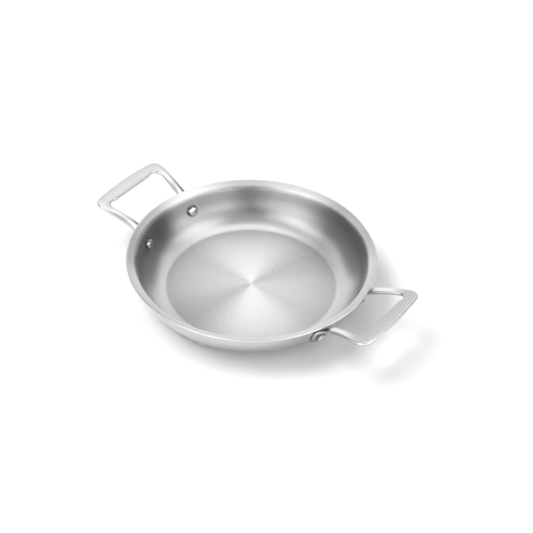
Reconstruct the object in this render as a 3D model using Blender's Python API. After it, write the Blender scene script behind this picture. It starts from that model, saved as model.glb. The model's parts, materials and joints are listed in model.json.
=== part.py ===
"""Stainless steel frying pan with two loop handles, in metres, with +Z up.

The origin is the centre of the flat underside, and the handles lie along X.
The body is one sheet of three bonded layers: steel inside, aluminium between, steel outside.
Each handle is a bent plate with a round pad at each end, and a rivet holds each pad to the wall.
"""

import math

import bmesh
import bpy
import numpy as np

# Pan body, measured on its inside surface. Slopes are degrees from level.
FLOOR_RADIUS = 0.1105
COVE_RADIUS = 0.036
WALL_SLOPE = 82.0
WALL_LENGTH = 0.0094
LIP_BEND_RADIUS = 0.008
LIP_SLOPE = 25.0
LIP_LAND = 0.0088

# Layers of the sheet
INNER_STEEL = 0.0005
ALUMINIUM = 0.0011
OUTER_STEEL = 0.0005

# Free space left between pieces that touch
GAP = 0.0003

# Rivets, each with a domed head inside and a flatter one outside
RIVET_DROP = 0.0252
RIVET_SPACING = 0.0895
SHANK_RADIUS = 0.0035
INNER_HEAD_RADIUS = 0.0080
INNER_HEAD_HEIGHT = 0.0045
OUTER_HEAD_RADIUS = 0.0062
OUTER_HEAD_HEIGHT = 0.0022

# Handle pads and the bend that leads the arms out of the wall
PAD_RADIUS = 0.0112
PAD_THICKNESS = 0.0036
PAD_RISE = 0.0065
NECK_LENGTH = 0.022
BEND_PULL = 0.015

# Handle arms, whose ridge fades into the flat grip
ARM_WIDTH = 0.013
ARM_THICKNESS = 0.0048
ARM_CROWN = 0.0011
ARM_SPLAY = 7.5
ARM_PULL = 0.026
RIDGE_FADE = 0.028

# Handle grip. Its reach is counted from the pan's lip, and its rise from the rim to its middle layer.
LOOP_REACH = 0.0618
LOOP_WIDTH = 0.1212
GRIP_WIDTH = 0.0195
GRIP_RISE = 0.0105
GRIP_SLOPE = 8.3
GRIP_BOW = 0.003
GRIP_CROWN = 0.0003
OUTER_CORNER = 0.0128
INNER_CORNER = 0.008
EDGE_ROUNDING = 0.0017

# The grip's inner edge swells towards the pan between two ramps, a little in from its corners
BULGE_DEPTH = 0.0012
BULGE_SETBACK = 0.0025
BULGE_RAMP = 0.004

# Fineness of the facets
BODY_SIDES = 56
COVE_STEPS = 6
LIP_STEPS = 3
RIVET_SIDES = 16
DOME_STEPS = 4
HOLE_SIDES = 24
PAD_STEPS = 4
NECK_STEPS = 8
ARM_STEPS = 8
CORNER_STEPS = 6
RAMP_STEPS = 2
GRIP_STEPS = 2

# Fineness of the curve that the plate is laid along
WALL_POINTS = 25
SIDE_VIEW_STEPS = 80

# The pad's outline starts this many degrees off its centre line, so its tip is a short straight edge
PAD_TIP_ANGLE = 8.0

# Step along the plate for finding which way it faces
NORMAL_STEP = 0.0002

# Edges sharper than this stay crisp in the shading
SHARP_ANGLE = math.radians(35.0)

# Points closer than this are one point
MERGE = 0.000001


def direction(slope):
    """Unit vector (outwards, up) along a slope."""
    return np.array([math.cos(math.radians(slope)), math.sin(math.radians(slope))])


def facing_out(slope):
    """Unit vector (outwards, up) square to a slope, on the pan's outer side."""
    return np.array([math.sin(math.radians(slope)), -math.cos(math.radians(slope))])


def ease(value):
    """Go from 0 to 1, level at both ends."""
    value = np.clip(value, 0.0, 1.0)
    return value * value * (3.0 - 2.0 * value)


def bezier(start, start_pull, end_pull, end, count):
    """Points of a cubic curve, without its first point."""
    t = np.linspace(0.0, 1.0, count + 1)[1:, None]
    return ((1 - t) ** 3 * start + 3 * (1 - t) ** 2 * t * start_pull
            + 3 * (1 - t) * t ** 2 * end_pull + t ** 3 * end)


# The sheet's inside surface: cove, straight wall, lip bend and lip, as (radius, height)
SHEET = INNER_STEEL + GAP + ALUMINIUM + GAP + OUTER_STEEL
COVE_CENTRE = np.array([FLOOR_RADIUS, SHEET + COVE_RADIUS])
WALL_FOOT = COVE_CENTRE + COVE_RADIUS * facing_out(WALL_SLOPE)
WALL_TOP = WALL_FOOT + WALL_LENGTH * direction(WALL_SLOPE)
LIP_CENTRE = WALL_TOP + LIP_BEND_RADIUS * facing_out(WALL_SLOPE)
LIP_EDGE = LIP_CENTRE - LIP_BEND_RADIUS * facing_out(LIP_SLOPE) + LIP_LAND * direction(LIP_SLOPE)
RIM_HEIGHT = LIP_EDGE[1]


def sheet_curve(depth):
    """Points (radius, height) from the axis to the lip, this deep in the sheet from the inside surface."""
    points = [np.array([0.0, SHEET - depth])]
    for slope in np.linspace(0.0, WALL_SLOPE, COVE_STEPS + 1):
        points.append(COVE_CENTRE + (COVE_RADIUS + depth) * facing_out(slope))
    for slope in np.linspace(WALL_SLOPE, LIP_SLOPE, LIP_STEPS + 1):
        points.append(LIP_CENTRE - (LIP_BEND_RADIUS - depth) * facing_out(slope))
    points.append(LIP_EDGE + depth * facing_out(LIP_SLOPE))
    return points


def rivet_seat():
    """Where the rivets cross the inside surface: (radius, height), slope, and climb up the straight wall."""
    height = RIM_HEIGHT - RIVET_DROP
    if height < WALL_FOOT[1]:
        slope = math.degrees(math.acos((COVE_CENTRE[1] - height) / COVE_RADIUS))
        return COVE_CENTRE + COVE_RADIUS * facing_out(slope), slope, 0.0
    climb = (height - WALL_FOOT[1]) / math.sin(math.radians(WALL_SLOPE))
    return WALL_FOOT + climb * direction(WALL_SLOPE), WALL_SLOPE, climb


RIVET_POINT, RIVET_SLOPE, RIVET_CLIMB = rivet_seat()
RIVET_TURN = math.asin(RIVET_SPACING / 2 / RIVET_POINT[0])


def up_the_wall(travel, depth):
    """Point (radius, height) and slope at a travel up from the rivets, this deep from the inside surface."""
    radius = COVE_RADIUS + depth
    cove_length = radius * math.radians(WALL_SLOPE)
    along = radius * math.radians(RIVET_SLOPE) + RIVET_CLIMB + travel
    if along < cove_length:
        slope = math.degrees(along / radius)
        return COVE_CENTRE + radius * facing_out(slope), slope
    start = WALL_FOOT + depth * facing_out(WALL_SLOPE)
    return start + (along - cove_length) * direction(WALL_SLOPE), WALL_SLOPE


# Middle layer of the pads, and how far each pad lies to the side of the handle's centre line
PAD_DEPTH = SHEET + GAP + PAD_THICKNESS / 2
PAD_ACROSS = up_the_wall(0.0, PAD_DEPTH)[0][0] * math.sin(RIVET_TURN)
LOOP_END = LIP_EDGE[0] + LOOP_REACH


def handle_side_view():
    """The plate's middle layer from the side: travel along it from the rivets, reach and height."""
    wall = []
    for travel in np.linspace(-1.1 * PAD_RADIUS, PAD_RISE, WALL_POINTS):
        radius, height = up_the_wall(travel, PAD_DEPTH)[0]
        wall.append((math.sqrt(radius ** 2 - PAD_ACROSS ** 2), height))
    start = np.array(wall[-1])
    start_slope = up_the_wall(PAD_RISE, PAD_DEPTH)[1]
    end = np.array([LOOP_END - GRIP_WIDTH / 2, RIM_HEIGHT + GRIP_RISE])
    arm = bezier(start, start + BEND_PULL * direction(start_slope),
                 end - ARM_PULL * direction(GRIP_SLOPE), end, SIDE_VIEW_STEPS)
    past_grip = end + GRIP_WIDTH * direction(GRIP_SLOPE)
    points = np.vstack([wall, arm, past_grip])
    travel = np.concatenate([[0.0], np.cumsum(np.hypot(*np.diff(points, axis=0).T))])
    return travel - travel[len(wall) - 1] + PAD_RISE, points[:, 0], points[:, 1]


TRAVEL, REACH, HEIGHT = handle_side_view()
GRIP_END = np.interp(LOOP_END, REACH, TRAVEL)
GRIP_START = np.interp(LOOP_END - GRIP_WIDTH + BULGE_DEPTH, REACH, TRAVEL)


def plate_point(travel, across):
    """The middle layer in space. The pads wrap the round wall, and the arms turn flat as they leave it."""
    reach = np.interp(travel, TRAVEL, REACH)
    round_wall = np.sqrt(reach ** 2 + PAD_ACROSS ** 2 - across ** 2)
    hold = 1.0 - ease((travel - PAD_RISE) / NECK_LENGTH)
    x = reach + hold * (round_wall - reach)
    return np.stack([x, across, np.interp(travel, TRAVEL, HEIGHT)], axis=-1)


def plate_normal(travel, across):
    """Unit vector square to the middle layer: up on the grip, towards the wall on the pads."""
    along = plate_point(travel + NORMAL_STEP, across) - plate_point(travel - NORMAL_STEP, across)
    sideways = plate_point(travel, across + NORMAL_STEP) - plate_point(travel, across - NORMAL_STEP)
    normal = np.cross(along, sideways)
    return normal / np.linalg.norm(normal, axis=-1, keepdims=True)


def turn(centre, radius, headings):
    """Points (travel, across) of a corner that turns clockwise through these headings, in degrees."""
    headings = np.radians(headings)
    return centre + radius * np.stack([-np.sin(headings), np.cos(headings)], axis=-1)


def loop_pattern():
    """Half of the handle as a flat plate: its outer and inner edges, from a pad's end to the grip's middle.

    Points are (travel from the rivets, distance across from the handle's centre line).
    """
    pad_angles = np.radians(np.linspace(PAD_TIP_ANGLE, 90.0, PAD_STEPS + 1))
    pad_travel = -PAD_RADIUS * np.cos(pad_angles)
    pad_half = PAD_RADIUS * np.sin(pad_angles)

    neck_travel = np.linspace(0.0, NECK_LENGTH, NECK_STEPS + 1)[1:]
    neck_half = PAD_RADIUS + (ARM_WIDTH / 2 - PAD_RADIUS) * ease(neck_travel / NECK_LENGTH)

    travel = np.concatenate([pad_travel, neck_travel])
    half = np.concatenate([pad_half, neck_half])
    outer = np.stack([travel, PAD_ACROSS + half], axis=-1)
    inner = np.stack([travel, PAD_ACROSS - half], axis=-1)

    # Outer corner and the bowed outer edge of the grip, which is an arc tangent to the corner
    outer_across = LOOP_WIDTH / 2 - OUTER_CORNER
    bow_angle = 2.0 * math.atan(GRIP_BOW / outer_across)
    corner_end = outer_across + OUTER_CORNER * math.sin(bow_angle)
    bow_radius = corner_end / math.sin(bow_angle)
    bow_depth = bow_radius * (1.0 - math.cos(bow_angle))
    centre = np.array([GRIP_END - bow_depth - OUTER_CORNER * math.cos(bow_angle), outer_across])
    outer_turn = turn(centre, OUTER_CORNER,
                      np.linspace(ARM_SPLAY, math.degrees(bow_angle) - 90.0, CORNER_STEPS + 1))

    # Inner corner and the grip's inner edge, which swells towards the pan past its ramp
    inner_across = LOOP_WIDTH / 2 - ARM_WIDTH - INNER_CORNER
    centre = np.array([GRIP_START - INNER_CORNER, inner_across])
    inner_turn = turn(centre, INNER_CORNER, np.linspace(ARM_SPLAY, -90.0, CORNER_STEPS + 1))
    ramp_start = inner_across - BULGE_SETBACK
    ramp_end = ramp_start - BULGE_RAMP
    across = np.concatenate([np.linspace(ramp_start, ramp_end, RAMP_STEPS + 1),
                             np.linspace(ramp_end, 0.0, GRIP_STEPS + 1)[1:]])
    bulge = BULGE_DEPTH * ease((ramp_start - across) / BULGE_RAMP)
    inner_grip = np.stack([GRIP_START - bulge, across], axis=-1)

    # The outer edge has a point abreast of each point on the inner one
    across = across * corner_end / inner_across
    travel = GRIP_END - bow_radius + np.sqrt(bow_radius ** 2 - across ** 2)
    outer_grip = np.stack([travel, across], axis=-1)

    def arm_edge(start, end):
        """A straight pull out of the neck that splays to meet the corner."""
        pull = (end[0] - start[0]) / 3
        points = bezier(start, start + [pull, 0.0], end - pull * direction(ARM_SPLAY), end, ARM_STEPS)
        return points[:-1]

    outer = np.vstack([outer, arm_edge(outer[-1], outer_turn[0]), outer_turn, outer_grip])
    inner = np.vstack([inner, arm_edge(inner[-1], inner_turn[0]), inner_turn, inner_grip])
    return outer, inner


def plate_section(half, thickness, crown):
    """Outline of the plate cut across: (sideways, up) from the middle layer, with rounded edges."""
    rounding = min(EDGE_ROUNDING, 0.9 * half, 0.5 * thickness)
    flat = half - rounding
    top = thickness / 2
    side = math.sqrt(0.5) * rounding
    points = [(flat * place, top - crown * place ** 2) for place in (-1.0, -0.5, 0.0, 0.5, 1.0)]
    points += [(flat + side, top - crown - rounding + side), (half, 0.0)]
    points += [(flat + side, rounding - top - side)]
    points += [(flat * place, -top) for place in (1.0, 0.0, -1.0)]
    points += [(-flat - side, rounding - top - side), (-half, 0.0)]
    points += [(-flat - side, top - crown - rounding + side)]
    return points


def handle_mesh():
    """The loop handle on the +X side: sections of the plate lofted from pad to pad."""
    outer, inner = loop_pattern()
    mirror = np.array([1.0, -1.0])
    outer = np.vstack([outer, outer[-2::-1] * mirror])
    inner = np.vstack([inner, inner[-2::-1] * mirror])

    mesh = bmesh.new()
    rings = []
    for left, right in zip(outer, inner):
        middle = (left + right) / 2
        half = np.linalg.norm(left - right) / 2
        sideways = (left - right) / (2 * half)
        arm_share = ease((middle[0] - PAD_RISE) / (NECK_LENGTH - PAD_RISE))
        grip_share = 1.0 - ease((GRIP_START - middle[0]) / RIDGE_FADE)
        thickness = PAD_THICKNESS + (ARM_THICKNESS - PAD_THICKNESS) * arm_share
        crown = ARM_CROWN * arm_share + (GRIP_CROWN - ARM_CROWN) * grip_share
        section = np.array(plate_section(half, thickness, crown))
        flat = middle + section[:, :1] * sideways
        points = plate_point(*flat.T) + section[:, 1:] * plate_normal(*flat.T)
        rings.append([mesh.verts.new(point) for point in points])
    for ring, next_ring in zip(rings, rings[1:]):
        for i, vert in enumerate(ring):
            mesh.faces.new([ring[i - 1], vert, next_ring[i], next_ring[i - 1]])
    mesh.faces.new(rings[0])
    mesh.faces.new(rings[-1])
    return mesh


def turned_mesh(points, sides):
    """An outline of (radius, height) points, with both ends on the axis, turned about Z."""
    mesh = bmesh.new()
    verts = [mesh.verts.new((radius, 0.0, height)) for radius, height in points]
    edges = [mesh.edges.new(pair) for pair in zip(verts, verts[1:])]
    bmesh.ops.spin(mesh, geom=verts + edges, cent=(0, 0, 0), axis=(0, 0, 1), angle=math.tau,
                   steps=sides, use_merge=True)
    bmesh.ops.remove_doubles(mesh, verts=mesh.verts, dist=MERGE)
    return mesh


def layer_mesh(start, thickness):
    """One layer of the sheet, which starts this deep below the inside surface."""
    outline = sheet_curve(start) + sheet_curve(start + thickness)[::-1]
    return turned_mesh(outline, BODY_SIDES)


def facet_clearance():
    """How far the flat facets of the wall stand in from its true round surface."""
    facet_round = RIVET_POINT[0] * (1 - math.cos(math.pi / BODY_SIDES))
    facet_cove = COVE_RADIUS * (1 - math.cos(math.radians(WALL_SLOPE / COVE_STEPS / 2)))
    return facet_round + facet_cove


def wall_hollow(down, across):
    """How far the hollow wall comes in from a flat plane on the rivet's seat, at this place on it."""
    round_radius = RIVET_POINT[0] / math.sin(math.radians(RIVET_SLOPE))
    return (COVE_RADIUS - math.sqrt(COVE_RADIUS ** 2 - down ** 2)
            + round_radius - math.sqrt(round_radius ** 2 - across ** 2))


def rivet_mesh():
    """A rivet along Z, outwards up, with the inside surface of the pan at height 0.

    Both heads are pressed to the curve of the wall, so that their rims follow it.
    """
    rim = -GAP - facet_clearance()
    outline = []
    for angle in np.linspace(0.0, math.pi / 2, DOME_STEPS + 1):
        outline.append((INNER_HEAD_RADIUS * math.sin(angle), rim - INNER_HEAD_HEIGHT * math.cos(angle)))
    outline.append((SHANK_RADIUS, rim))
    seat = SHEET + GAP + PAD_THICKNESS + GAP
    outline.append((SHANK_RADIUS, seat))
    for angle in np.linspace(math.pi / 2, 0.0, DOME_STEPS + 1):
        outline.append((OUTER_HEAD_RADIUS * math.sin(angle), seat + OUTER_HEAD_HEIGHT * math.cos(angle)))
    mesh = turned_mesh(outline, RIVET_SIDES)
    for vert in mesh.verts:
        vert.co.z -= wall_hollow(vert.co.x, vert.co.y)
    return mesh


def hole_mesh():
    """A cutter for a rivet's hole, longer than the wall and the pad together."""
    radius = SHANK_RADIUS + GAP
    length = SHEET + PAD_THICKNESS + 4 * INNER_HEAD_HEIGHT
    mesh = bmesh.new()
    bmesh.ops.create_cone(mesh, cap_ends=True, segments=HOLE_SIDES, radius1=radius, radius2=radius,
                          depth=length)
    return mesh


def add_object(name, mesh, parent, finish=None):
    """Make an object from a bmesh, with its own material if it has a finish."""
    bmesh.ops.recalc_face_normals(mesh, faces=mesh.faces)
    data = bpy.data.meshes.new(name)
    mesh.to_mesh(data)
    mesh.free()
    data.shade_smooth()
    data.set_sharp_from_angle(angle=SHARP_ANGLE)
    if finish:
        data.materials.append(material(name, *finish))
    made = bpy.data.objects.new(name, data)
    bpy.context.scene.collection.objects.link(made)
    made.parent = parent
    return made


def material(name, color, roughness):
    """A metal of this colour and roughness."""
    made = bpy.data.materials.new(name)
    made.use_nodes = True
    shader = made.node_tree.nodes["Principled BSDF"]
    shader.inputs["Base Color"].default_value = (*color, 1.0)
    shader.inputs["Metallic"].default_value = 1.0
    shader.inputs["Roughness"].default_value = roughness
    return made


def stand_on_wall(made, side, end):
    """Put an object's Z axis on a rivet's axis. side is +1 or -1 along X, end is +1 or -1 along Y."""
    azimuth = RIVET_TURN * end * side + (0.0 if side > 0 else math.pi)
    radius, height = RIVET_POINT
    made.location = (radius * math.cos(azimuth), radius * math.sin(azimuth), height)
    made.rotation_euler = (0.0, math.radians(180.0 - RIVET_SLOPE), azimuth)


def cut(made, cutter):
    """Take the cutter's shape out of an object."""
    modifier = made.modifiers.new("rivet_holes", 'BOOLEAN')
    modifier.operation = 'DIFFERENCE'
    modifier.solver = 'EXACT'
    modifier.object = cutter


def main():
    for old in list(bpy.data.objects):
        bpy.data.objects.remove(old, do_unlink=True)

    pan = bpy.data.objects.new("pan", None)
    bpy.context.scene.collection.objects.link(pan)

    satin_steel = ((0.62, 0.61, 0.60), 0.28)
    polished_steel = ((0.66, 0.65, 0.64), 0.16)
    bare_aluminium = ((0.78, 0.79, 0.80), 0.40)

    inner_ply = add_object("cooking_surface_ply", layer_mesh(0.0, INNER_STEEL), pan, satin_steel)
    core = add_object("aluminium_core", layer_mesh(INNER_STEEL + GAP, ALUMINIUM), pan, bare_aluminium)
    outer_start = SHEET - OUTER_STEEL
    outer_ply = add_object("outer_steel_ply", layer_mesh(outer_start, OUTER_STEEL), pan, polished_steel)

    right = add_object("loop_handle_right", handle_mesh(), pan, satin_steel)
    left = add_object("loop_handle_left", handle_mesh(), pan, satin_steel)
    left.rotation_euler = (0.0, 0.0, math.pi)

    for side, side_name, handle in ((-1, "left", left), (1, "right", right)):
        for end, end_name in ((-1, "front"), (1, "back")):
            place = f"{side_name}_{end_name}"
            rivet = add_object("rivet_" + place, rivet_mesh(), pan, polished_steel)
            stand_on_wall(rivet, side, end)

            cutter = add_object("hole_" + place, hole_mesh(), pan)
            cutter.hide_render = True
            cutter.display_type = 'WIRE'
            stand_on_wall(cutter, side, end)
            for plate in (inner_ply, core, outer_ply, handle):
                cut(plate, cutter)


if __name__ == "__main__":
    main()
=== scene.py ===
# Stainless steel frying pan with two loop handles: fine surfaces, finishes, light and camera.
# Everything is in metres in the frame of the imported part: +Z up, handles along X, standing on z = 0.
import json
import math

import bpy
import numpy as np
from mathutils import Matrix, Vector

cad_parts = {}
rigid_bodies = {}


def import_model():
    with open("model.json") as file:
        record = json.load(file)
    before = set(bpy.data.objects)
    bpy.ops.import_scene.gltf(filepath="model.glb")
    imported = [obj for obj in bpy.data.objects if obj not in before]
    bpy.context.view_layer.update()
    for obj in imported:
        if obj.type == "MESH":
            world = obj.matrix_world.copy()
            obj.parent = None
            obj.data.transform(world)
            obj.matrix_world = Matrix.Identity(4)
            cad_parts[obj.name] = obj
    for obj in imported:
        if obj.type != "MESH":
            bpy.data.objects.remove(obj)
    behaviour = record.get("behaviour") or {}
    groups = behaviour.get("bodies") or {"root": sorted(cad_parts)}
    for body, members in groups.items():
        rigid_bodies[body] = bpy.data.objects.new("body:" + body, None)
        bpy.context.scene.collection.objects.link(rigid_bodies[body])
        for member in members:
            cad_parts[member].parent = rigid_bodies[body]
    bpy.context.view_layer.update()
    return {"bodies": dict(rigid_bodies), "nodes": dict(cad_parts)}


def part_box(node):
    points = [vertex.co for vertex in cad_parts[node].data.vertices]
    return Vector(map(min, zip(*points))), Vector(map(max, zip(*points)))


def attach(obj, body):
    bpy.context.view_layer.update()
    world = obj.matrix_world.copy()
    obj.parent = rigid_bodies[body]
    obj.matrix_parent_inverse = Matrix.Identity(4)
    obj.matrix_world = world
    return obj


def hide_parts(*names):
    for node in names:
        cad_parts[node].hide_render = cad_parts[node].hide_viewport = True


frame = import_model()
print("frame loaded:", len(frame["nodes"]), "nodes")

rootBody = list(frame["bodies"])[0]
scene = bpy.context.scene


# Small helpers for shapes

def ease(value):
    # 0 to 1 with level ends: 3v^2 - 2v^3
    value = np.clip(value, 0.0, 1.0)
    return value * value * (3.0 - 2.0 * value)


def stepsFrom(start, end, count):
    # places in equal steps after start, up to end
    return np.linspace(start, end, count + 1)[1:]


def points(radius, height):
    # (radius, height) pairs, where either may be a single number
    return np.stack(np.broadcast_arrays(radius, height), axis=-1)


def heading(slope):
    # unit vector (outwards, up) along a slope in degrees
    slope = np.radians(slope)
    return np.stack([np.cos(slope), np.sin(slope)], axis=-1)


def outward(slope):
    # unit vector (outwards, up) square to a slope, on the side away from the food
    slope = np.radians(slope)
    return np.stack([np.sin(slope), -np.cos(slope)], axis=-1)


def cubicCurve(start, startPull, endPull, end, count):
    # cubic with its two end points and their pulls, from 0 to 1 in equal steps
    t = np.linspace(0.0, 1.0, count + 1)[:, None]
    return ((1 - t) ** 3 * start + 3 * (1 - t) ** 2 * t * startPull
            + 3 * (1 - t) * t * t * endPull + t ** 3 * end)


def axesMatrix(right, up, back, place):
    # the matrix of an object that has these three axes and stands at this place
    return Matrix(np.column_stack([right, up, back, place]).tolist() + [[0.0, 0.0, 0.0, 1.0]])


def wrappedMesh(name, rings, fields=None):
    # rings[i, j] is point j of closed ring i. The first and last rings shrink to one point each.
    rows, around = rings.shape[:2]
    corners = np.concatenate([rings[0].mean(0)[None], rings[1:-1].reshape(-1, 3), rings[-1].mean(0)[None]])
    index = 1 + np.arange(rows - 2)[:, None] * around + np.arange(around)
    turned = np.roll(index, -1, axis=1)
    quads = np.stack([index[:-1], turned[:-1], turned[1:], index[1:]], axis=-1).reshape(-1, 4)
    last = len(corners) - 1
    firstFan = np.stack([np.zeros(around, int), turned[0], index[0]], axis=-1)
    lastFan = np.stack([np.full(around, last), index[-1], turned[-1]], axis=-1)
    triangles = np.concatenate([firstFan, lastFan])

    # six times the signed volume says which way the faces point
    a, b, c, d = (corners[quads[:, i]] for i in range(4))
    volume = (np.cross(a, b) * c).sum() + (np.cross(a, c) * d).sum()
    a, b, c = (corners[triangles[:, i]] for i in range(3))
    volume += (np.cross(a, b) * c).sum()
    if volume < 0:
        quads, triangles = quads[:, ::-1], triangles[:, ::-1]

    mesh = bpy.data.meshes.new(name)
    loops = np.concatenate([quads.ravel(), triangles.ravel()])
    sides = np.concatenate([np.full(len(quads), 4), np.full(len(triangles), 3)])
    mesh.vertices.add(len(corners))
    mesh.vertices.foreach_set("co", corners.ravel())
    mesh.loops.add(len(loops))
    mesh.loops.foreach_set("vertex_index", loops)
    mesh.polygons.add(len(sides))
    mesh.polygons.foreach_set("loop_start", np.concatenate([[0], np.cumsum(sides)[:-1]]))
    mesh.polygons.foreach_set("loop_total", sides)
    mesh.polygons.foreach_set("use_smooth", np.ones(len(sides), bool))
    mesh.update(calc_edges=True)
    for field, values in (fields or {}).items():
        values = np.concatenate([[values[0].mean()], values[1:-1].ravel(), [values[-1].mean()]])
        mesh.attributes.new(field, 'FLOAT', 'POINT').data.foreach_set("value", values.astype(np.float32))
    return mesh


def drilled(mesh, drills, crispAbove=50.0):
    # the mesh less every drill's hole. Edges bent by more than crispAbove degrees shade as crisp ones.
    plate = bpy.data.objects.new("plate", mesh)
    scene.collection.objects.link(plate)
    for drill in drills:
        hole = plate.modifiers.new("rivetHole", 'BOOLEAN')
        hole.operation, hole.solver, hole.object = 'DIFFERENCE', 'MANIFOLD', drill
    graph = bpy.context.evaluated_depsgraph_get()
    cut = bpy.data.meshes.new_from_object(plate.evaluated_get(graph), preserve_all_data_layers=True,
                                          depsgraph=graph)
    bpy.data.objects.remove(plate)
    cut.set_sharp_from_angle(angle=math.radians(crispAbove))
    return cut


def addPiece(name, mesh, node, finish):
    # one piece of the pan: rides on the pan's body and stands for its CAD node
    piece = bpy.data.objects.new(name, mesh)
    scene.collection.objects.link(piece)
    mesh.materials.clear()
    mesh.materials.append(finish)
    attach(piece, rootBody)
    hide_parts(node)


# Shader maths: a number on its way through the nodes, and the bench that adds the nodes

class ShadeNumber:
    def __init__(self, bench, socket):
        self.bench = bench
        self.socket = socket

    def __add__(self, other):
        return self.bench.sum('ADD', self, other)

    def __radd__(self, other):
        return self.bench.sum('ADD', other, self)

    def __sub__(self, other):
        return self.bench.sum('SUBTRACT', self, other)

    def __rsub__(self, other):
        return self.bench.sum('SUBTRACT', other, self)

    def __mul__(self, other):
        return self.bench.sum('MULTIPLY', self, other)

    def __rmul__(self, other):
        return self.bench.sum('MULTIPLY', other, self)

    def __truediv__(self, other):
        return self.bench.sum('DIVIDE', self, other)

    def __rtruediv__(self, other):
        return self.bench.sum('DIVIDE', other, self)

    def __pow__(self, other):
        return self.bench.sum('POWER', self, other)


class ShaderBench:
    def __init__(self, tree):
        self.tree = tree
        tree.nodes.clear()

    def node(self, kind, settings=None, sockets=None, output=0):
        # settings first, because they decide which sockets there are
        made = self.tree.nodes.new(kind)
        for key, value in (settings or {}).items():
            setattr(made, key, value)
        for key, value in (sockets or {}).items():
            if isinstance(value, ShadeNumber):
                self.tree.links.new(value.socket, made.inputs[key])
            else:
                made.inputs[key].default_value = value
        return ShadeNumber(self, made.outputs[output]) if made.outputs else None

    def sum(self, operation, first, second=0.0):
        return self.node("ShaderNodeMath", {"operation": operation}, {0: first, 1: second})

    def blendIn(self, value, low, high):
        # 0 at low and 1 at high, with soft ends
        return self.node("ShaderNodeMapRange", {"interpolation_type": 'SMOOTHSTEP'},
                         {"Value": value, "From Min": low, "From Max": high})

    def colours(self, share, first, second):
        return self.node("ShaderNodeMix", {"data_type": 'RGBA'}, {0: share, 6: first, 7: second}, output=2)

    def vector(self, x, y, z):
        return self.node("ShaderNodeCombineXYZ", None, {0: x, 1: y, 2: z})

    def split(self, place):
        first = self.node("ShaderNodeSeparateXYZ", None, {0: place})
        return [ShadeNumber(self, socket) for socket in first.socket.node.outputs]

    def grain(self, place, scale, detail=3.0):
        return self.node("ShaderNodeTexNoise", None, {"Vector": place, "Scale": scale, "Detail": detail})

    def attribute(self, name):
        return self.node("ShaderNodeAttribute", {"attribute_name": name}, output="Fac")

    def objectPlace(self):
        return self.node("ShaderNodeTexCoord", output="Object")


def metal(name, settings, varying):
    # varying(bench) gives the sockets whose values change over the surface
    made = bpy.data.materials.new(name)
    made.use_nodes = True
    bench = ShaderBench(made.node_tree)
    sockets = {"Metallic": 1.0}
    sockets.update(settings)
    sockets.update(varying(bench))
    shader = bench.node("ShaderNodeBsdfPrincipled", None, sockets)
    bench.node("ShaderNodeOutputMaterial", None, {"Surface": shader})
    return made


# Pan body: one sheet of steel, aluminium and steel, pressed to a shallow pan with a flared lip

body = {
    "floorRadius": 0.1105,
    "coveRadius": 0.036,
    "wallSlope": 82.0,        # degrees from level
    "wallLength": 0.0094,
    "lipBendRadius": 0.008,
    "lipSlope": 25.0,
    "lipLand": 0.0088,
    "thickness": 0.0027,
    "innerSteel": 0.00064,
    "outerSteel": 0.00064,
    "seam": 0.00003,          # hairline between the bonded layers, seen only on the rim
    "rimRounding": 0.0011,    # how far the rounded rim draws back at its two faces
    "coreSetBack": 0.00008,   # soft aluminium polishes away a little at the rim
    "floorSteps": 12,
    "coveSteps": 36,
    "wallSteps": 5,
    "bendSteps": 20,
    "landSteps": 4,
    "rimSteps": 12,
    "around": 360,
}

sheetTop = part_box("cooking_surface_ply")[1].z
coveCentre = np.array([body["floorRadius"], body["thickness"] + body["coveRadius"]])
wallFoot = coveCentre + body["coveRadius"] * outward(body["wallSlope"])
wallTop = wallFoot + body["wallLength"] * heading(body["wallSlope"])
lipCentre = wallTop + body["lipBendRadius"] * outward(body["wallSlope"])
lipEdge = (lipCentre - body["lipBendRadius"] * outward(body["lipSlope"])
           + body["lipLand"] * heading(body["lipSlope"]))
rimHeight = lipEdge[1]
print("rim height", round(rimHeight, 5), "and in the frame", round(sheetTop, 5))


def rimDrawBack(depth):
    # half an ellipse across the sheet: full reach at mid depth, drawn back at both faces
    middle = body["thickness"] / 2
    return body["rimRounding"] * (1.0 - np.sqrt(np.clip(1.0 - ((depth - middle) / middle) ** 2, 0.0, 1.0)))


def sheetLine(depth, setBack):
    # (radius, height) from the axis to the rim at one depth: flat floor, cove arc, straight wall, lip
    # arc and straight lip
    floor = (np.linspace(0.0, 1.0, body["floorSteps"] + 1)[:-1, None] * [body["floorRadius"], 0.0]
             + [0.0, body["thickness"] - depth])
    cove = coveCentre + (body["coveRadius"] + depth) * outward(
        np.linspace(0.0, body["wallSlope"], body["coveSteps"] + 1))
    up = stepsFrom(0.0, 1.0, body["wallSteps"])[:, None] * body["wallLength"]
    wall = wallFoot + depth * outward(body["wallSlope"]) + up * heading(body["wallSlope"])
    bend = lipCentre - (body["lipBendRadius"] - depth) * outward(
        stepsFrom(body["wallSlope"], body["lipSlope"], body["bendSteps"]))
    out = stepsFrom(0.0, 1.0, body["landSteps"])[:, None] * (body["lipLand"] - setBack)
    land = bend[-1] + out * heading(body["lipSlope"])
    return np.vstack([floor, cove, wall, bend, land])


def spun(outline, around):
    # a closed outline of (radius, height) turned about Z
    angle = np.linspace(0.0, math.tau, around, endpoint=False)
    radius, height = outline[:, 0, None], outline[:, 1, None]
    height = np.repeat(height, around, axis=1)
    return np.stack([radius * np.cos(angle), radius * np.sin(angle), height], axis=-1)


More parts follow.
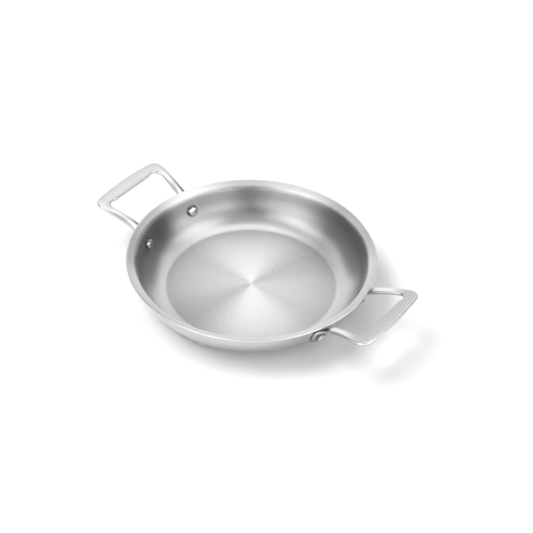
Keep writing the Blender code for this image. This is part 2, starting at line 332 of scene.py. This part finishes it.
def layerRings(start, end, setBack):
    # one layer of the sheet: out along its upper face, round the rim and back along its lower face
    depths = np.linspace(start, end, body["rimSteps"] + 1)[1:-1]
    rim = (lipEdge + depths[:, None] * outward(body["lipSlope"])
           - (rimDrawBack(depths) + setBack)[:, None] * heading(body["lipSlope"]))
    upper = sheetLine(start, rimDrawBack(start) + setBack)
    lower = sheetLine(end, rimDrawBack(end) + setBack)
    return spun(np.vstack([upper, rim, lower[::-1]]), body["around"])


# Finishes of the body. Tones run from 0, black, to 1; a pair says where something starts and is full.

steelColour = (1.0, 0.985, 0.982, 1)    # the brightest steel: a faint warm tint
brushTurn = 0.25              # of a turn, so that the brushing runs round the pan

insideLook = {
    "marksAcross": 2600.0,    # brush marks change fast across them and slowly along them
    "marksAlong": 2.0,
    "cloudScale": 14.0,
    "disc": (0.1130, 0.1086),       # radii: the flat disc in the middle
    "wall": (0.008, 0.028),         # heights, as in the next three
    "lip": (0.0452, 0.0488),
    "land": (0.0485, 0.0515),
    "satin": (-0.012, 0.040),
    # the tones below paint light into the steel: a painted highlight on the disc, painted reflection on the
    # cove and lip, painted shade on the wall and the lip's land
    "discToneAndHighlight": 0.72,
    "highlightFall": 21.0,         # times the radius squared
    "coveToneAndReflection": 0.67,
    "paintedWallShade": 0.15,
    "lipToneAndHighlight": 0.84,
    "paintedLandShade": 0.09,
    "grainDrop": 0.014,
    "roughness": 0.25,
    "satinRoughness": 0.07,
    "markRoughness": 0.006,
    "cloudRoughness": 0.014,
    "anisotropy": 1.0,
}

outsideLook = {
    "marksAcross": 1800.0,
    "marksAlong": 3.0,
    "cloudScale": 18.0,
    "tone": 0.69,
    "cloudDrop": 0.06,
    "roughness": 0.12,
    "markRoughness": 0.07,
    "bumpStrength": 0.06,
    "bumpDistance": 0.00004,
    "anisotropy": 0.5,
}

coreLook = {
    "bright": (0.78, 0.785, 0.79, 1),
    "dull": (0.70, 0.705, 0.71, 1),
    "cloudScale": 900.0,
    "roughness": 0.34,
    "cloudRoughness": 0.12,
}


def roundThePan(bench):
    # distance from the axis, kept a little off zero, and the height
    x, y, z = bench.split(bench.objectPlace())
    return (x * x + y * y + 1e-8) ** 0.5, z


def brushMarks(bench, radius, z, across, along):
    # brush marks run round the pan: noise that changes fast across them and slowly along them
    x, y = bench.split(bench.objectPlace())[:2]
    return bench.grain(bench.vector((radius + z) * across, x / radius * along, y / radius * along), 1.0)


def steelTone(bench, share):
    # a steel grey of this brightness
    return bench.colours(share, (0, 0, 0, 1), steelColour)


def cookingSteel(bench):
    # the tone paints light into one steel: a painted highlight, bright in the middle of the flat disc and
    # falling off towards its edge; painted reflection that lightens the cove and the lip; painted shade that
    # darkens the wall higher up and the lip's outer land
    look = insideLook
    radius, z = roundThePan(bench)
    marks = brushMarks(bench, radius, z, look["marksAcross"], look["marksAlong"])
    cloud = bench.grain(bench.objectPlace(), look["cloudScale"])
    disc = bench.blendIn(radius, *look["disc"])
    lip = bench.blendIn(z, *look["lip"])
    land = bench.blendIn(z, *look["land"])
    wall = bench.blendIn(z, *look["wall"])
    satin = bench.blendIn(z, *look["satin"])
    discToneAndHighlight = look["discToneAndHighlight"] - radius * radius * look["highlightFall"]
    sheetTone = disc * discToneAndHighlight + (1.0 - disc) * (look["coveToneAndReflection"] - wall * look["paintedWallShade"])
    tone = (1.0 - lip) * sheetTone + lip * (look["lipToneAndHighlight"] - land * look["paintedLandShade"])
    return {
        "Base Color": steelTone(bench, tone - (marks + cloud) * look["grainDrop"]),
        "Roughness": (look["roughness"] + satin * look["satinRoughness"] + marks * look["markRoughness"]
                      + cloud * look["cloudRoughness"]),
    }


def outsideSteel(bench):
    look = outsideLook
    radius, z = roundThePan(bench)
    marks = brushMarks(bench, radius, z, look["marksAcross"], look["marksAlong"])
    cloud = bench.grain(bench.objectPlace(), look["cloudScale"])
    return {
        "Base Color": steelTone(bench, look["tone"] - cloud * look["cloudDrop"]),
        "Roughness": look["roughness"] + marks * look["markRoughness"],
        "Normal": bench.node("ShaderNodeBump", None, {
            "Height": marks, "Strength": look["bumpStrength"], "Distance": look["bumpDistance"]}),
    }


def coreAluminium(bench):
    cloud = bench.grain(bench.objectPlace(), coreLook["cloudScale"])
    return {
        "Base Color": bench.colours(cloud, coreLook["bright"], coreLook["dull"]),
        "Roughness": coreLook["roughness"] + cloud * coreLook["cloudRoughness"],
    }


cookingFinish = metal("cookingSteel", {"Anisotropic": insideLook["anisotropy"],
                                       "Anisotropic Rotation": brushTurn}, cookingSteel)
outsideFinish = metal("outsideSteel", {"Anisotropic": outsideLook["anisotropy"],
                                       "Anisotropic Rotation": brushTurn}, outsideSteel)
coreFinish = metal("coreAluminium", {}, coreAluminium)


# Rivets: a high dome inside, a low one outside, both pressed to the curve of the wall

rivet = {
    "drop": 0.0252,           # from the rim down to the rivet, on the inside surface
    "spacing": 0.0895,
    "shank": 0.0035,
    "hole": 0.0038,
    "innerHead": 0.0080,
    "innerHeight": 0.0045,
    "outerHead": 0.0062,
    "outerHeight": 0.0022,
    "gap": 0.0003,
    "standOff": 0.00015,      # underside of the inner head to the wall
    "edgeInset": 0.00012,     # the inner head's rounded edge: inwards and down from the dome's rim
    "edgeDrop": 0.00010,
    "underInset": 0.0004,     # its flat underside, from the same rim
    "underDrop": 0.00014,
    "shankDrop": 0.0006,      # where the straight shank starts
    "outerFillet": 0.0004,    # from the shank to the outer head's flat underside
    "drillInside": 0.012,     # how far the drill for the hole reaches on either side
    "drillOutside": 0.016,
    "domeSteps": 24,
    "underPoints": 6,
    "shankPoints": 5,
    "around": 72,
}

pad = {
    "radius": 0.0112,
    "thickness": 0.0036,
    "rise": 0.0065,           # how far up the wall the plate still hugs it
    "neck": 0.022,
    "tip": 0.25,              # degrees off the centre line where the pad's outline starts
}

rivetLook = {
    "cloudScale": 260.0,
    "cloudDetail": 2.0,
    # the head's tones paint light: a bright painted highlight in the middle and painted shade round the rim,
    # which the next range places
    "rim": (0.55, 1.00),      # shares of the head's radius
    "middleToneAndHighlight": 0.94,
    "paintedRimShade": 0.80,
    "cloudDrop": 0.04,
    "roughness": 0.27,
    "rimSmoother": 0.10,
}

rivetHeight = rimHeight - rivet["drop"]
rivetSlope = math.degrees(math.acos((coveCentre[1] - rivetHeight) / body["coveRadius"]))
rivetPoint = coveCentre + body["coveRadius"] * outward(rivetSlope)
rivetTurn = math.asin(rivet["spacing"] / 2 / rivetPoint[0])


def wallHollow(down, across):
    # how far a doubly curved wall leaves its tangent plane: two circles' sagittas added
    roundRadius = rivetPoint[0] / math.sin(math.radians(rivetSlope))
    return (body["coveRadius"] - np.sqrt(body["coveRadius"] ** 2 - down ** 2)
            + roundRadius - np.sqrt(roundRadius ** 2 - across ** 2))


def rivetRings():
    # (radius, height) outline: inner dome, its edge and underside, shank, outer underside, outer dome.
    # The domes are quarter ellipses.
    rim = -rivet["standOff"]
    seat = body["thickness"] + rivet["gap"] + pad["thickness"] + rivet["gap"]
    quarter = np.linspace(0.0, math.pi / 2, rivet["domeSteps"] + 1)
    outline = np.vstack([
        points(rivet["innerHead"] * np.sin(quarter), rim - rivet["innerHeight"] * np.cos(quarter)),
        points([rivet["innerHead"] - rivet["edgeInset"]], rim + rivet["edgeDrop"]),
        points(np.linspace(rivet["innerHead"] - rivet["underInset"], rivet["shank"], rivet["underPoints"]),
               rim + rivet["underDrop"]),
        points(rivet["shank"], np.linspace(rim + rivet["shankDrop"], seat, rivet["shankPoints"])),
        points(np.linspace(rivet["shank"] + rivet["outerFillet"], rivet["outerHead"], rivet["shankPoints"]),
               seat),
        points(rivet["outerHead"] * np.cos(quarter[1:]), seat + rivet["outerHeight"] * np.sin(quarter[1:])),
    ])
    rings = spun(outline, rivet["around"])
    rings[..., 2] -= wallHollow(rings[..., 0], rings[..., 1])
    head = np.where(outline[:, 1] < body["thickness"] / 2, rivet["innerHead"], rivet["outerHead"])
    return rings, {"fromMiddle": np.repeat((outline[:, 0] / head)[:, None], rivet["around"], axis=1)}


def polishedSteel(bench):
    # painted light: a painted highlight brightens the middle of each head and painted shade darkens it round
    # its rim; the rim is also a little smoother
    look = rivetLook
    cloud = bench.grain(bench.objectPlace(), look["cloudScale"], look["cloudDetail"])
    rim = bench.blendIn(bench.attribute("fromMiddle"), *look["rim"])
    tone = look["middleToneAndHighlight"] - rim * look["paintedRimShade"] - cloud * look["cloudDrop"]
    return {"Base Color": steelTone(bench, tone), "Roughness": look["roughness"] - rim * look["rimSmoother"]}


rivetFinish = metal("polishedSteel", {}, polishedSteel)
tilt = Matrix.Rotation(math.radians(180.0 - rivetSlope), 4, 'Y')
drillOutline = points([0.0, rivet["hole"], rivet["hole"], 0.0],
                      [-rivet["drillInside"], -rivet["drillInside"],
                       rivet["drillOutside"], rivet["drillOutside"]])
drills = []
for side, sideName in ((-1, "left"), (1, "right")):
    for end, endName in ((-1, "front"), (1, "back")):
        azimuth = rivetTurn * end * side + (0.0 if side > 0 else math.pi)
        place = (rivetPoint[0] * math.cos(azimuth), rivetPoint[0] * math.sin(azimuth), rivetPoint[1])
        atRivet = Matrix.Translation(place) @ Matrix.Rotation(azimuth, 4, 'Z') @ tilt
        mesh = wrappedMesh("rivet", *rivetRings())
        mesh.transform(atRivet)
        addPiece("rivet" + sideName.title() + endName.title(), mesh, f"rivet_{sideName}_{endName}",
                 rivetFinish)
        drillMesh = wrappedMesh("drill", spun(drillOutline, rivet["around"]))
        drillMesh.transform(atRivet)
        drills.append(bpy.data.objects.new("drill", drillMesh))
        scene.collection.objects.link(drills[-1])
print("rivets made")

innerEnd = body["innerSteel"]
outerStart = body["thickness"] - body["outerSteel"]
layers = (
    ("cookingSurface", "cooking_surface_ply", "inner_steel", cookingFinish, (0.0, innerEnd, 0.0)),
    ("aluminiumCore", "aluminium_core", "core_aluminium", coreFinish,
     (innerEnd + body["seam"], outerStart - body["seam"], body["coreSetBack"])),
    ("outerShell", "outer_steel_ply", "outer_steel", outsideFinish, (outerStart, body["thickness"], 0.0)),
)
for name, node, slotName, finish, layer in layers:
    addPiece(name, drilled(wrappedMesh(name, layerRings(*layer)), drills), node, finish)
print("pan body made")


# Loop handles: a flat plate cut as a squared loop, its two arms bent up the wall to round riveted pads

loop = {
    "bendPull": 0.015,
    "armWidth": 0.013,
    "armThickness": 0.0048,
    "armCrown": 0.0007,
    "armSplay": 7.5,
    "armPull": 0.026,
    "ridgeFade": 0.028,
    "reach": 0.06173,
    "width": 0.1212,
    "gripWidth": 0.0195,
    "gripRise": 0.01049,
    "gripSlope": 8.3,
    "gripBow": 0.003,
    "gripCrown": 0.0003,
    "outerCorner": 0.0128,
    "innerCorner": 0.008,
    "edgeRounding": 0.0019,
    "edgePower": 2.3,         # 2 is an ellipse, more is squarer
    "bulgeDepth": 0.0012,     # the grip's inner edge swells towards the pan
    "bulgeSetBack": 0.0025,
    "bulgeRamp": 0.004,
    "padOverrun": 1.1,        # pad radii below the rivets where the side view starts
    "sideWallPoints": 160,
    "sideArmSteps": 500,
    "padSteps": 20,
    "neckSteps": 28,
    "armSteps": 30,
    "cornerSteps": 22,
    "setBackSteps": 3,
    "rampSteps": 12,
    "gripSteps": 24,
    "topPoints": 29,
}

handleLook = {
    "speckleScale": 2400.0,
    "cloudScale": 45.0,
    "satinStart": 0.9,        # millimetres from the edge, where the satin starts and is full
    "satinFull": 4.2,
    "gripNarrower": 1.8,      # what the grip takes from satinFull
    # the tones below paint light into the steel: painted shade at the edges and underneath, a painted
    # highlight along the arms' middles and on the grip's edges
    "edgeTone": 0.57,
    "gripEdgeHighlight": 0.17,
    "satinToneAndHighlight": 0.91,
    "gripHighlightDrop": 0.34,
    "paintedUnderShade": 0.46,
    "cloudDrop": 0.03,
    "roughness": 0.33,
    "gripSmoother": 0.12,
    "gripSatinRougher": 0.18,
    "satinSmoother": 0.03,
    "bumpStrength": 0.15,
    "bumpDistance": 0.00003,
}

padDepth = body["thickness"] + rivet["gap"] + pad["thickness"] / 2
loopEnd = lipEdge[0] + loop["reach"]


def upTheWall(travel, depth):
    # (radius, height) after a travel up the wall from the rivets, at this depth; and the slope there
    radius = body["coveRadius"] + depth
    coveLength = radius * math.radians(body["wallSlope"])
    along = radius * math.radians(rivetSlope) + np.asarray(travel)
    slope = np.degrees(np.minimum(along, coveLength) / radius)
    onward = np.maximum(along - coveLength, 0.0)[..., None] * heading(body["wallSlope"])
    return coveCentre + radius * outward(slope) + onward, slope


padAcross = float(upTheWall(0.0, padDepth)[0][0]) * math.sin(rivetTurn)


def handleSideView():
    # the plate's middle layer from the side: up the wall, over in one cubic bend, then straight along
    # the grip
    wallTravel = np.linspace(-loop["padOverrun"] * pad["radius"], pad["rise"], loop["sideWallPoints"])
    wallPoints = upTheWall(wallTravel, padDepth)[0]
    wallReach = np.sqrt(wallPoints[:, 0] ** 2 - padAcross ** 2)
    wall = np.stack([wallReach, wallPoints[:, 1]], axis=-1)
    startSlope = float(upTheWall(pad["rise"], padDepth)[1])
    end = np.array([loopEnd - loop["gripWidth"] / 2, rimHeight + loop["gripRise"]])
    arm = cubicCurve(wall[-1], wall[-1] + loop["bendPull"] * heading(startSlope),
                     end - loop["armPull"] * heading(loop["gripSlope"]), end, loop["sideArmSteps"])[1:]
    pastGrip = end + loop["gripWidth"] * heading(loop["gripSlope"])
    line = np.vstack([wall, arm, pastGrip])
    travel = np.concatenate([[0.0], np.cumsum(np.hypot(*np.diff(line, axis=0).T))])
    return travel - travel[len(wall) - 1] + pad["rise"], line[:, 0], line[:, 1]


travelLine, reachLine, heightLine = handleSideView()
gripEnd = np.interp(loopEnd, reachLine, travelLine)
gripStart = np.interp(loopEnd - loop["gripWidth"] + loop["bulgeDepth"], reachLine, travelLine)


def platePlace(travel, across):
    # the middle layer in space: wraps the round wall at the pads, then turns flat along the neck
    reach = np.interp(travel, travelLine, reachLine)
    height = np.interp(travel, travelLine, heightLine)
    roundWall = np.sqrt(reach ** 2 + padAcross ** 2 - across ** 2)
    hold = 1.0 - ease((travel - pad["rise"]) / pad["neck"])
    return np.stack([reach + hold * (roundWall - reach), across, height], axis=-1)


def plateFacing(travel, across):
    # unit vector square to the middle layer, from slopes over a 1 mm step so that bends shade smoothly
    step = 0.0005
    along = platePlace(travel + step, across) - platePlace(travel - step, across)
    sideways = platePlace(travel, across + step) - platePlace(travel, across - step)
    facing = np.cross(along, sideways)
    return facing / np.linalg.norm(facing, axis=-1, keepdims=True)


def cornerTurn(centre, radius, headings):
    # points of an arc in the flat pattern, turning clockwise through these headings in degrees
    headings = np.radians(headings)
    return centre + radius * np.stack([-np.sin(headings), np.cos(headings)], axis=-1)


def armEdge(start, end):
    # one edge of an arm in the flat pattern, from straight along the neck to the arm's splay
    pull = (end[0] - start[0]) / 3
    return cubicCurve(start, start + [pull, 0.0], end - pull * heading(loop["armSplay"]), end,
                      loop["armSteps"])[1:-1]


def loopPattern():
    # half of the flat pattern as two matched edges of (travel, across): pad, neck, arm, corner and half
    # of the grip
    padAngle = np.radians(np.linspace(pad["tip"], 90.0, loop["padSteps"] + 1))
    padTravel, padHalf = -pad["radius"] * np.cos(padAngle), pad["radius"] * np.sin(padAngle)
    neckTravel = stepsFrom(0.0, pad["neck"], loop["neckSteps"])
    neckHalf = pad["radius"] + (loop["armWidth"] / 2 - pad["radius"]) * ease(neckTravel / pad["neck"])
    travel, half = np.concatenate([padTravel, neckTravel]), np.concatenate([padHalf, neckHalf])
    outer = np.stack([travel, padAcross + half], axis=-1)
    inner = np.stack([travel, padAcross - half], axis=-1)

    outerAcross = loop["width"] / 2 - loop["outerCorner"]
    bowAngle = 2.0 * math.atan(loop["gripBow"] / outerAcross)
    cornerEnd = outerAcross + loop["outerCorner"] * math.sin(bowAngle)
    bowRadius = cornerEnd / math.sin(bowAngle)
    bowDepth = bowRadius * (1.0 - math.cos(bowAngle))
    centre = np.array([gripEnd - bowDepth - loop["outerCorner"] * math.cos(bowAngle), outerAcross])
    headings = np.linspace(loop["armSplay"], math.degrees(bowAngle) - 90.0, loop["cornerSteps"] + 1)
    outerTurn = cornerTurn(centre, loop["outerCorner"], headings)

    innerAcross = loop["width"] / 2 - loop["armWidth"] - loop["innerCorner"]
    centre = np.array([gripStart - loop["innerCorner"], innerAcross])
    headings = np.linspace(loop["armSplay"], -90.0, loop["cornerSteps"] + 1)
    innerTurn = cornerTurn(centre, loop["innerCorner"], headings)
    rampStart = innerAcross - loop["bulgeSetBack"]
    rampEnd = rampStart - loop["bulgeRamp"]
    across = np.concatenate([stepsFrom(innerAcross, rampStart, loop["setBackSteps"]),
                             stepsFrom(rampStart, rampEnd, loop["rampSteps"]),
                             stepsFrom(rampEnd, 0.0, loop["gripSteps"])])
    bulge = loop["bulgeDepth"] * ease((rampStart - across) / loop["bulgeRamp"])
    innerGrip = np.stack([gripStart - bulge, across], axis=-1)
    across = across * cornerEnd / innerAcross
    outerGrip = np.stack([gripEnd - bowRadius + np.sqrt(bowRadius ** 2 - across ** 2), across], axis=-1)

    outer = np.vstack([outer, armEdge(outer[-1], outerTurn[0]), outerTurn, outerGrip])
    inner = np.vstack([inner, armEdge(inner[-1], innerTurn[0]), innerTurn, innerGrip])
    return outer, inner


def handleRings():
    # each section across the plate: a crowned top and a flat underside that meet at mid height, both
    # falling there by (1 - n^p)^(1/p), where n grows from 0 to 1 over the last stretch before the edge
    outer, inner = loopPattern()
    flip = np.array([1.0, -1.0])
    outer = np.vstack([outer, outer[-2::-1] * flip])
    inner = np.vstack([inner, inner[-2::-1] * flip])
    middle, span = (outer + inner) / 2, outer - inner
    half = np.linalg.norm(span, axis=-1, keepdims=True) / 2
    sideways = span / (2 * half)

    armShare = ease((middle[:, :1] - pad["rise"]) / (pad["neck"] - pad["rise"]))
    gripShare = 1.0 - ease((gripStart - middle[:, :1]) / loop["ridgeFade"])
    thickness = pad["thickness"] + (loop["armThickness"] - pad["thickness"]) * armShare
    crown = loop["armCrown"] * armShare + (loop["gripCrown"] - loop["armCrown"]) * gripShare

    # places across from -1 to 1, closer together towards the edges
    spread = np.sin(np.linspace(-math.pi / 2, math.pi / 2, loop["topPoints"]))
    offset = half * spread
    past = np.minimum(middle[:, :1], 0.0)
    toEdge = np.where(middle[:, :1] < 0.0, pad["radius"] - np.hypot(past, offset), half - np.abs(offset))
    rounding = loop["edgeRounding"]
    near = np.clip(1.0 - toEdge / rounding, 0.0, 1.0)
    fullness = (1.0 - near ** loop["edgePower"]) ** (1.0 / loop["edgePower"])
    flatHalf = np.maximum(half - rounding, 0.001)     # at least 1 mm, for the pad's tip
    crowned = crown * np.minimum(np.abs(offset) / flatHalf, 1.0) ** 2
    top = (thickness / 2 - crowned) * fullness
    under = -thickness / 2 * fullness

    # over the top and back underneath; the two edge points are shared and count as top side
    across = np.concatenate([offset, offset[:, -2:0:-1]], axis=1)
    lift = np.concatenate([top, under[:, -2:0:-1]], axis=1)
    edge = np.concatenate([toEdge, toEdge[:, -2:0:-1]], axis=1)
    flat = middle[:, None, :] + across[..., None] * sideways[:, None, :]
    place = platePlace(flat[..., 0], flat[..., 1])
    rings = place + lift[..., None] * plateFacing(flat[..., 0], flat[..., 1])
    return rings, {
        "toEdge": edge * 1000.0,      # millimetres
        "gripShare": np.broadcast_to(gripShare, edge.shape),
        "topSide": (lift > -1e-6) * 1.0,
    }


def handleSteel(bench):
    # a satin grip whose edges are polished smoother; painted light in the tone: a painted highlight along
    # the middle of each arm, darker painted shade at the arm edges, lighter grip edges as a painted
    # highlight, and painted shade on the underside
    look = handleLook
    toEdge = bench.attribute("toEdge")
    speckle = bench.grain(bench.objectPlace(), look["speckleScale"])
    cloud = bench.grain(bench.objectPlace(), look["cloudScale"])
    grip = bench.attribute("gripShare")
    satin = bench.blendIn(toEdge, look["satinStart"], look["satinFull"] - grip * look["gripNarrower"])
    edge = look["edgeTone"] + grip * look["gripEdgeHighlight"]
    top = edge + satin * (look["satinToneAndHighlight"] - grip * look["gripHighlightDrop"] - edge)
    tone = bench.attribute("topSide") * (top - look["paintedUnderShade"]) + look["paintedUnderShade"]
    return {
        "Base Color": steelTone(bench, tone - cloud * look["cloudDrop"]),
        "Roughness": (look["roughness"] - grip * look["gripSmoother"]
                      + satin * (grip * look["gripSatinRougher"] - look["satinSmoother"])),
        "Normal": bench.node("ShaderNodeBump", None, {
            "Height": speckle * satin, "Strength": look["bumpStrength"], "Distance": look["bumpDistance"]}),
    }


handleFinish = metal("handleSteel", {}, handleSteel)
rings, fields = handleRings()
for name, node, turn in (("rightLoop", "loop_handle_right", 0.0), ("leftLoop", "loop_handle_left", math.pi)):
    mesh = wrappedMesh(name, rings, fields)
    mesh.transform(Matrix.Rotation(turn, 4, 'Z'))
    addPiece(name, drilled(mesh, drills), node, handleFinish)
for drill in drills:
    bpy.data.objects.remove(drill)
print("handles made")


# Camera: above and in front, with the left handle pointing to the upper left of the picture

view = {
    "elevation": 40.463,
    "turn": 36.6,             # degrees that the camera stands round from the side of the pan
    "roll": 1.640,
    "distance": 1.800,
    "aimRight": 0.01916,
    "aimUp": -0.01522,
    "lens": 94.98,
    "sensor": 36.0,
}


def viewMatrix():
    # the camera's axes and its place, which is the aim point less the distance along the line of sight,
    # turned about Z and lifted to the rim
    elevation, roll = math.radians(view["elevation"]), math.radians(view["roll"])
    ahead = np.array([0.0, math.cos(elevation), -math.sin(elevation)])
    above = np.array([0.0, math.sin(elevation), math.cos(elevation)])
    right = np.array([1.0, 0.0, 0.0])
    place = view["aimRight"] * right + view["aimUp"] * above - view["distance"] * ahead
    rolledRight = math.cos(roll) * right + math.sin(roll) * above
    rolledUp = -math.sin(roll) * right + math.cos(roll) * above
    turned = Matrix.Translation((0, 0, rimHeight)) @ Matrix.Rotation(math.radians(view["turn"]), 4, 'Z')
    return turned @ axesMatrix(rolledRight, rolledUp, -ahead, place)


cameraData = bpy.data.cameras.new("camera")
cameraData.lens = view["lens"]
cameraData.sensor_width = view["sensor"]
camera = bpy.data.objects.new("camera", cameraData)
scene.collection.objects.link(camera)
camera.matrix_world = viewMatrix()
scene.camera = camera
print("camera placed")


# Studio: a pale floor, soft boxes in the world that shape the reflections, and one sun for the shadow.
# Azimuth 0 is the camera's right and 90 is away from the camera, in degrees.

studio = {
    "dark": 0.01,             # between the soft boxes
    "floorColour": 0.82,
    "floorSize": 12.0,
    "floorDrop": 0.0002,      # keeps the floor just clear of the underside
    "sunStrength": 2.0,
    "sunAzimuth": 172.0,
    "sunElevation": 58.0,
    "sunWidth": 36.0,         # degrees across, for a soft shadow
    "sunDistance": 2.0,       # where it hangs in the viewport; its light doesn't depend on this
}

# strength; azimuth, half width and softness of the sides; lower and upper edge and their softness
softboxes = {
    "backLow": (1.01, 97, 33.5, 3.6, -12.0, 42.4, 5.2),
    "backHigh": (3.28, 90, 21.8, 6.7, 51.9, 74.8, 7.0),
    "rightHigh": (2.11, 4, 35.1, 25.8, 44.6, 73.2, 5.2),
    "leftHigh": (2.58, 198, 34.8, 14.2, 46.2, 62.4, 5.5),
    "leftBack": (1.84, 139, 29.8, 2.4, 40.8, 49.2, 9.6),
    "rightBack": (1.20, 68, 26.0, 2.9, 39.9, 49.5, 6.0),
    "frontLeft": (4.36, 238, 29.0, 24.0, -12.0, 19.0, 5.9),
    "frontLeftUpper": (1.33, 226, 26.6, 2.0, 46.3, 62.3, 5.9),
    "frontRight": (3.04, 319, 33.6, 10.7, -12.0, 21.1, 5.6),
    "frontRightUpper": (1.09, 295, 19.5, 2.2, 14.6, 25.6, 7.3),
    "frontHigh": (1.71, 278, 56.2, 3.7, 60.9, 71.3, 6.6),
    "horizonRight": (4.49, 16, 34.3, 3.1, -12.0, 3.6, 5.7),
    "zenith": (0.23, 90, 200.0, 10.0, 84.3, 120.0, 7.0),
}

floorMaterial = bpy.data.materials.new("floorPaper")
floorMaterial.use_nodes = True
floorBench = ShaderBench(floorMaterial.node_tree)
floorShader = floorBench.node("ShaderNodeBsdfDiffuse", None, {"Color": (studio["floorColour"],) * 3 + (1,)})
floorBench.node("ShaderNodeOutputMaterial", None, {"Surface": floorShader})
floorMesh = bpy.data.meshes.new("floor")
reach, level = studio["floorSize"] / 2, -studio["floorDrop"]
floorMesh.from_pydata([(-reach, -reach, level), (reach, -reach, level),
                       (reach, reach, level), (-reach, reach, level)], [], [(0, 1, 2, 3)])
floorMesh.materials.append(floorMaterial)
floor = bpy.data.objects.new("floor", floorMesh)
scene.collection.objects.link(floor)


def setBrightness(bench):
    # adds up the soft boxes: strength times the fades of the sides, the lower edge and the upper edge
    x, y, z = bench.split(bench.node("ShaderNodeTexCoord", output="Generated"))
    turn = math.radians(view["turn"])
    right = x * math.cos(turn) + y * math.sin(turn)
    away = y * math.cos(turn) - x * math.sin(turn)
    level = (right * right + away * away + 1e-6) ** 0.5      # kept a little off zero
    elevation = bench.sum('ARCSINE', z) * (180.0 / math.pi)
    brightness = studio["dark"]
    for strength, azimuth, half, soft, low, top, edge in softboxes.values():
        azimuth = math.radians(azimuth)
        towards = (right * math.cos(azimuth) + away * math.sin(azimuth)) / level
        gap = bench.sum('ARCCOSINE', towards) * (180.0 / math.pi)
        sides = bench.blendIn(gap, half + soft, half - soft)
        lower = bench.blendIn(elevation, low - edge, low + edge)
        upper = bench.blendIn(elevation, top + edge, top - edge)
        brightness = sides * lower * upper * strength + brightness
    return brightness


def sunMatrix():
    # the sun hangs at its azimuth and elevation and looks back at the pan along its own -Z
    azimuth = math.radians(studio["sunAzimuth"] + view["turn"])
    elevation = math.radians(studio["sunElevation"])
    back = np.array([math.cos(elevation) * math.cos(azimuth),
                     math.cos(elevation) * math.sin(azimuth), math.sin(elevation)])
    right = np.cross([0.0, 0.0, 1.0], back)
    right /= np.linalg.norm(right)
    return axesMatrix(right, np.cross(back, right), back, studio["sunDistance"] * back)


# the camera sees the world as white, everything else sees the soft boxes
world = bpy.data.worlds.new("surround")
scene.world = world
world.use_nodes = True
worldBench = ShaderBench(world.node_tree)
plainWhite = worldBench.sum('MAXIMUM', worldBench.node("ShaderNodeLightPath", output="Is Camera Ray"),
                            worldBench.node("ShaderNodeLightPath", output="Is Transmission Ray"))
strength = plainWhite + (1.0 - plainWhite) * setBrightness(worldBench)
surround = worldBench.node("ShaderNodeBackground", None, {"Color": (1, 1, 1, 1), "Strength": strength})
worldBench.node("ShaderNodeOutputWorld", None, {"Surface": surround})

sunData = bpy.data.lights.new("sun", 'SUN')
sunData.energy = studio["sunStrength"]
sunData.angle = math.radians(studio["sunWidth"])
sun = bpy.data.objects.new("sun", sunData)
scene.collection.objects.link(sun)
sun.matrix_world = sunMatrix()
sun.visible_glossy = False    # the metal sees the soft boxes instead

scene.view_settings.view_transform = 'Standard'
print("studio made")
